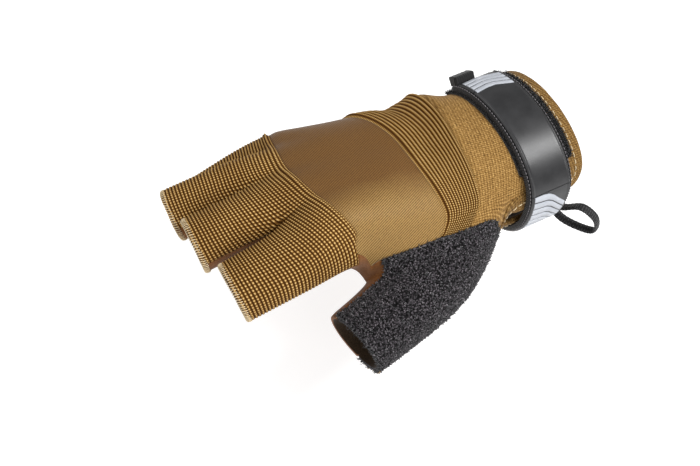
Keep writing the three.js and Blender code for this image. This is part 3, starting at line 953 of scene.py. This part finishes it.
def running_stitches(builder, at, length, pitch, long, radius, finish=0):
    """Stitches in a row; at(s, lift) gives a point on the cloth at a distance along the row."""
    dip, lift = 0.25, 0.18
    ends = [(0.0, -dip), (0.14, lift * 0.8), (0.5, lift), (0.86, lift * 0.8), (1.0, -dip)]
    for k in range(int(length / pitch)):
        s = k * pitch + rng.uniform(-0.06, 0.06)
        stitch(builder, [at(s + long * f, h) for f, h in ends], radius, finish)


strap_band = Band(148, -88, -29.8, -8.5, 1.6)
STRAP_THICK, STRAP_CORNER, STRAP_HEM = 1.6, 3.0, 0.62
strap = Builder()
slab(strap, strap_band, STRAP_THICK, STRAP_CORNER, 0.25, steps=(130, 16))
for across in (STRAP_HEM, strap_band.width - STRAP_HEM):
    edging = []
    for s in np.arange(STRAP_CORNER, strap_band.length - STRAP_CORNER, 0.45):
        edging.append(strap_band.at(s, across, 1.55 + 0.06 * math.sin(s * 4.6)))
    strap.tube(edging, 0.42, 8)

    def row(s, lift):
        return strap_band.at(np.clip(STRAP_CORNER + s, 0, strap_band.length), across, 2.0 + lift)

    running_stitches(strap, row, strap_band.length - 7, 1.5, 0.85, 0.16, finish=1)
strap.piece("strap_webbing", [STRAP_BASE, PALE_THREAD], "strap_base", ["strap"])

# The strap's face and its chevron patches lie on one level between the same edges.
FACE = (-28.6, -9.9, 3.5)
FACE_THICK, FACE_CORNER, FACE_EDGE = 0.8, 0.05, 0.35
cover_band = Band(114, 12.7, *FACE)
cover = Builder()


def cover_rim(s, w):
    """A low welt beside both long edges."""
    return 0.35 * math.exp(-((min(w, cover_band.width - w) - 0.7) / 0.28) ** 2)


slab(cover, cover_band, FACE_THICK, FACE_CORNER, FACE_EDGE, steps=(110, 36),
     relief=cover_rim, soft_ends=False)
cover.piece("strap_cover_face", [STRAP_FACE], "strap_face", ["strap_cover"])

BAR_FOOT, BAR_TOP, BAR_MARGIN, BAR_SOFT, BAR_LEAST = 0.35, 1.15, 1.15, 0.12, 0.05


def bar_outline(lo, hi):
    """Distances along the band and heights of one bar's cross-section."""
    soft = min(BAR_SOFT, (hi - lo) / 3)
    shoulder = BAR_TOP - 0.1
    return [
        (lo, BAR_FOOT), (lo, shoulder), (lo + soft, BAR_TOP), (hi - soft, BAR_TOP),
        (hi, shoulder), (hi, BAR_FOOT)]


def chevrons(name, node, band, patch, pitch, bar, slope, skew, first, count):
    """Pale bars, bent at their middle, over a dark backing; skew tilts the whole group."""
    made = Builder()
    slab(made, band, FACE_THICK, FACE_CORNER, FACE_EDGE, finish=1, length=patch, steps=(60, 36),
         relief=cover_rim, soft_ends=False)
    middle = band.width / 2
    rows = np.linspace(BAR_MARGIN, band.width - BAR_MARGIN, 25)
    for k in range(count):
        head = first + k * pitch
        profile, uv = [], []
        for w in rows:
            begin = head + slope * max(abs(w - middle) - 1.2, 0) + skew * (w - middle)
            lo, hi = np.clip([begin, begin + bar], 0.35, band.length - 0.35)
            spots = bar_outline(lo, max(hi, lo + BAR_LEAST))
            profile.append([band.at(s, w, h) for s, h in spots])
            uv.append([(s, w) for s, _ in spots])
        if max(np.linalg.norm(p[0] - p[-1]) for p in profile) < 0.3:
            continue
        made.grid(profile, uv, 0, flip=not band.turned)
        for end, turn in ((0, band.turned), (-1, not band.turned)):
            base = len(made.points)
            made.points.extend(profile[end])
            made.uv.extend(uv[end])
            face = list(range(base, base + 6))
            made.faces.append(face[::-1] if turn else face)
            made.index.append(0)
    made.piece(name, [PALE_FACE, STRAP_FACE], "pale_face", [node])


chevrons(
    "chevrons_upper", "chevron_patch_upper", Band(135, 104, *FACE), Band(135, 114.7, *FACE).length,
    pitch=2.8, bar=2.05, slope=0.3, skew=0.14, first=0.3, count=4)
chevrons(
    "chevrons_lower", "chevron_patch_lower", Band(12, -58, *FACE), Band(12, -58, *FACE).length,
    pitch=3.7, bar=2.9, slope=0.44, skew=0.61, first=1.6, count=11)

tab_band = Band(147, 136, -29.2, -19.5, 3.5)
tab = Builder()
slab(tab, tab_band, 4.0, 1.2, 0.5, steps=(18, 16), relief=lambda s, w: 0.1 * math.sin(w * 3.1))
tab.piece("strap_end", [STRAP_BASE], "strap_base", ["strap_end_tab"])

# Most of the loop patch's hairs stand along its rear edge, some along its front and its end.
HAIRS, HAIR_FOOT = 3400, 0.75
patch_band = Band(157, 32, -30.6, -4.8, 0.3)
patch = Builder()
slab(patch, patch_band, 0.9, 2.0, 0.2, steps=(100, 20), relief=lambda s, w: rng.uniform(-0.1, 0.15))
for _ in range(HAIRS):
    s = rng.uniform(0.3, patch_band.length - 0.3)
    rear = rng.random() < 0.72
    w = rng.uniform(patch_band.width - 4.4, patch_band.width) if rear else rng.uniform(0, 1.6)
    if rng.random() < 0.12:
        s, w = rng.uniform(0, 4.5), rng.uniform(0, patch_band.width)
    start = patch_band.at(s, w, HAIR_FOOT)
    bend = rng.normal(0, 0.42, 3)
    top = patch_band.at(s, w, HAIR_FOOT + rng.uniform(0.4, 1.15)) + bend
    patch.tube([start, (start + top) / 2 + rng.normal(0, 0.1, 3), top], [0.09, 0.08, 0.05], 3)
patch.piece("loop_pile_patch", [PILE], "loop_pile", ["loop_patch"])

# Rolled binding round the cuff and the wrist slit


def edge_loop(start):
    """The points of one open edge of the net, in order."""
    loop = [start]
    while net_rim[loop[-1]] != start:
        loop.append(net_rim[loop[-1]])
    return loop


def resample(points, step):
    """Evenly spaced points round a closed line."""
    pts = np.array(list(points) + [points[0]])
    run = distances(pts)
    count = max(int(round(run[-1] / step)), 8)
    spots = np.linspace(0, run[-1], count, endpoint=False)
    return np.stack([np.interp(spots, run, pts[:, k]) for k in range(3)], 1)


def relaxed(points, rounds):
    """A closed line with its wrinkles smoothed."""
    for _ in range(rounds):
        points = (np.roll(points, 1, 0) + 2 * points + np.roll(points, -1, 0)) / 4
    return points


# The folded hem: a flat band on the cloth that turns over into the roll at the open edge.
# The band's points are given by distance from the roll's middle and by height.
ROLL_STEP = 0.8
HEM = [(7.0, 0.0), (6.95, 0.7), (6.6, 1.05), (5.0, 1.05), (3.4, 0.95)]
ROLL_DEGREES = (100, 70, 40, 15, -15, -50, -90, -130)
ROLL_WIDE, ROLL_HIGH = 1.55, 1.35

cuff_loop = edge_loop(0)
loop_points, loop_normals = net_points[cuff_loop, :3], net_normals[cuff_loop]
outward = unit_rows(np.cross(ring_way(loop_points), loop_normals))
rolled_line = relaxed(loop_points + outward * 2.15 - loop_normals * 0.6, 5)
rolled_line = relaxed(resample(rolled_line, ROLL_STEP), 2)
roll_normals = relaxed(np.array([on_skin(p, 0)[1] for p in rolled_line]), 6)
roll_out = unit_rows(np.cross(ring_way(rolled_line), roll_normals))
wobble = noise(rolled_line, 0.35, 11)
profile_rows, profile_uv = [], []
for k in range(len(rolled_line) + 1):
    i = k % len(rolled_line)
    p, n, w = rolled_line[i], roll_normals[i], roll_out[i]
    row = [on_skin(p - w * inset, lift + 0.06 * wobble[i])[0] for inset, lift in HEM]
    size = 1.0 + 0.05 * wobble[i]
    for degrees in ROLL_DEGREES:
        row.append(oval(p, w * ROLL_WIDE * size, n * ROLL_HIGH * size, math.radians(degrees)))
    profile_rows.append(row)
    profile_uv.append([(k * ROLL_STEP / 0.92, v) for v in distances(row)])
binding = Builder()
binding.grid(profile_rows, profile_uv, flip=True)
binding.piece("cuff_roll", [CUFF_KNIT], "fine_knit", ["cuff_binding"])


def seam_row(loop, step):
    """A line on the skin beside an open edge, with a lookup by distance along it."""
    pts = resample(relaxed(loop, 3), step)
    run = distances(pts)

    def at(s, lift):
        spot = np.array([np.interp(s % run[-1], run, pts[:, k]) for k in range(3)])
        return on_skin(spot, lift)[0]

    return at, run[-1]


STITCH_INSET, STITCH_LIFT = 2.9, 0.98
cuff_threads = Builder()
row, length = seam_row(rolled_line - roll_out * STITCH_INSET, 0.6)
running_stitches(cuff_threads, lambda s, lift: row(s, STITCH_LIFT + lift), length, 2.6, 1.9, 0.23)
cuff_threads.piece("cuff_stitching", [CREAM_THREAD], "fine_knit")

# Towelling loops, seam fringe and loose threads on the thumb


def panel_faces(name):
    """Corner points and unit normals of a panel's faces on the smooth net."""
    quads = net_faces[net_panels == name]
    corners = net_points[quads, :3]
    across = np.cross(corners[:, 2] - corners[:, 0], corners[:, 3] - corners[:, 1])
    area = np.linalg.norm(across, axis=1)
    return corners, across / area[:, None], area / 2


TERRY_LOOPS = 5200
# Shares of black, grey and pale loops, and each kind of fringe: number, thread, length, radius.
TERRY_SHADES = (0.56, 0.28, 0.16)
FRINGES = [(900, 0, (0.5, 1.4), 0.1), (350, 1, (0.5, 1.4), 0.1), (16, 3, (0.6, 1.5), 0.17)]

terry_corners, terry_normals, terry_area = panel_faces("thumb_panel")
terry = Builder()
shares = terry_area / terry_area.sum()
for face in rng.choice(len(shares), TERRY_LOOPS, p=shares):
    a, b, c, d = terry_corners[face]
    s, t = rng.random(2)
    foot = (a * (1 - s) + b * s) * (1 - t) + (d * (1 - s) + c * s) * t
    n = terry_normals[face]
    way = unit(np.cross(n, rng.normal(0, 1, 3)))
    reach, high = rng.uniform(0.2, 0.42), rng.uniform(0.8, 1.3)
    lean = rng.normal(0, 0.22, 3)
    path = [
        foot - way * reach * 0.6 + n * 0.3, foot - way * reach + n * high * 0.8 + lean * 0.5,
        foot + n * high + lean, foot + way * reach + n * high * 0.7 + lean * 0.5,
        foot + way * reach * 0.6 + n * 0.2]
    shade = int(rng.choice(3, p=TERRY_SHADES))
    terry.tube(path, rng.uniform(0.13, 0.21), 3, shade)


def fringe(builder, points, normals, inward, count, finish, reach, radius):
    """Short threads that stick out past an edge."""
    for _ in range(count):
        k = int(rng.integers(len(points)))
        p, n, w = points[k], normals[k], inward[k]
        way = -w * rng.uniform(*reach) + rng.normal(0, 0.35, 3)
        start = p + w * 0.6 + n * rng.uniform(0.1, 0.5)
        middle = start + way * 0.6 + n * rng.uniform(-0.1, 0.5)
        end = start + way + n * rng.uniform(-0.4, 0.4) + rng.normal(0, 0.15, 3)
        builder.tube([start, middle, end], [radius, radius, radius * 0.6], 3, finish)


def panel_rim(name):
    """Points of a panel's edge on the smooth net, with normals and the way into the panel."""
    quads = net_faces[net_panels == name]
    edges = rim_edges(quads)
    a, b = net_points[edges[:, 0], :3], net_points[edges[:, 1], :3]
    n = net_normals[edges[:, 0]]
    return (a + b) / 2, n, unit_rows(np.cross(n, b - a))


terry_rim = panel_rim("thumb_panel")
for kind in FRINGES:
    fringe(terry, *terry_rim, *kind)
terry.piece("terry_loops", [BLACK_THREAD, GREY_THREAD, PALE_THREAD, TAN_THREAD], "towelling")

# Whipped edge round each finger opening

FINGER_HEM_POINTS = 48


def finger_hems():
    """The open edges of the four finger stubs; the cuff's and the thumb's have more points."""
    left, loops = set(net_rim), []
    while left:
        loop = edge_loop(min(left))
        left -= set(loop)
        if len(loop) == FINGER_HEM_POINTS:
            loops.append(loop)
    return loops


hems = Builder()
for loop in finger_hems():
    ring = resample(relaxed(net_points[loop, :3], 1), 1.0)
    centre = ring.mean(0)
    around = ring_way(ring)
    axis = unit(np.cross(around, ring - centre).mean(0))
    inward = -axis if np.dot(axis, [0, 1, 0]) < 0 else axis
    for p, t in zip(ring, around):
        n = unit(p - centre)
        lean = rng.uniform(0.5, 0.75)
        depth = rng.uniform(1.7, 2.1)
        # Each point's distance into the stub's cloth, round the ring and out of the cloth.
        spots = [
            (depth, lean, 0.1), (depth - 0.35, lean * 0.8, 0.55), (0.6, lean * 0.3, 0.52),
            (-0.28, 0, 0.12), (-0.3, -0.15, -0.9), (0.5, -0.3, -1.5)]
        path = [p + inward * back + t * on + n * out for back, on, out in spots]
        stitch(hems, path, rng.uniform(0.17, 0.22), steps=9)
hems.piece("hem_whipping", [CREAM_THREAD], "ribbed_knit")

# Pull loop

PULL = [
    (22.8, -5.2, -19.2), (26.5, -3.8, -18.5), (33, -1, -13), (38.5, 3, -16.5), (39.5, 4, -23.5),
    (35, 1, -25.5), (26.5, -3.4, -25.5), (18, -4.8, -23.4),
]


def catmull(points, count):
    """A smooth line through the points."""
    pts = np.array([2 * np.array(points[0]) - points[1], *points, 2 * np.array(points[-1]) - points[-2]])
    out = []
    for s in np.linspace(0, len(points) - 1, count):
        k = min(int(s), len(points) - 2)
        t = s - k
        a, b, c, d = pts[k:k + 4]
        out.append(0.5 * (
            2 * b + (c - a) * t + (2 * a - 5 * b + 4 * c - d) * t * t
            + (3 * b - 3 * c + d - a) * t ** 3))
    return np.array(out)


PULL_POINTS, PULL_HALF_THICK, PULL_HALF_WIDE = 150, 0.75, 2.0
pull = Builder()
guide = [np.array([-0.4, 0.9, 0.1])] * PULL_POINTS
ribs = np.array([0.06 * math.sin(i * 1.5) for i in range(PULL_POINTS)])
pull.tube(catmull(PULL, PULL_POINTS), PULL_HALF_THICK + ribs, 14, 0, PULL_HALF_WIDE + ribs, guide)
pull.piece("pull_loop_webbing", [WEBBING], "webbing", ["pull_loop"])

# Camera, light and floor

FLOOR_HALF, FLOOR_Z, FLOOR_GLOW = 3.0, -0.062, 0.72
floor_mesh = bpy.data.meshes.new("floor")
corners = [(x * FLOOR_HALF, y * FLOOR_HALF, FLOOR_Z) for x, y in ((-1, -1), (1, -1), (1, 1), (-1, 1))]
floor_mesh.from_pydata(corners, [], [(0, 1, 2, 3)])
floor = placed("floor", floor_mesh)
pale = Shader("floor", roughness=0.9, specular=0.1)
pale.bsdf.inputs["Base Color"].default_value = (0.5, 0.5, 0.5, 1)
pale.bsdf.inputs["Emission Color"].default_value = (1, 1, 1, 1)
pale.bsdf.inputs["Emission Strength"].default_value = FLOOR_GLOW
floor_mesh.materials.append(pale.material)


def aimed(place, lamp, name):
    """Puts a lamp at a place, turned to the middle of the hand."""
    made = placed(name, lamp)
    made.location = Vector(place) * MM
    way = Vector(AIM) - Vector(place)
    made.rotation_euler = way.to_track_quat("-Z", "Y").to_euler()


AIM = (-2, -80, 0)
# Name, place and width in millimetres, and power
LAMPS = [
    ("key", (400, 310, 780), 360, 8.8),
    ("side", (760, -160, 420), 420, 1.8),
    ("fill", (-500, -300, 620), 700, 1.8),
    ("front", (200, -800, 500), 500, 1.6),
]
for name, place, size, power in LAMPS:
    lamp = bpy.data.lights.new(name, "AREA")
    lamp.shape = "DISK"
    lamp.size = size * MM
    lamp.energy = power
    aimed(place, lamp, name)

world = bpy.data.worlds.new("studio")
world.use_nodes = True
sky = world.node_tree.nodes["Background"].inputs
sky["Color"].default_value = (1, 1, 1, 1)
sky["Strength"].default_value = 0.36
bpy.context.scene.world = world
bpy.context.scene.view_settings.view_transform = "Standard"

# The camera stands at the photo's azimuth of 52.5 and elevation of 51.3 degrees.
EYE = Vector((296.8, -320.1, 453.5)) * MM
RIGHT = Vector((0.51763, 0.85130, 0.08567))
UP = Vector((-0.69726, 0.36169, 0.61887))
BACK = Vector((0.49587, -0.38008, 0.78080))
lens = bpy.data.cameras.new("camera")
lens.sensor_width = 36
lens.lens = 77.14
lens.clip_start = 0.01
camera = placed("camera", lens)
turn = Matrix((RIGHT, UP, BACK)).transposed().to_4x4()
camera.matrix_world = Matrix.Translation(EYE) @ turn
bpy.context.scene.camera = camera
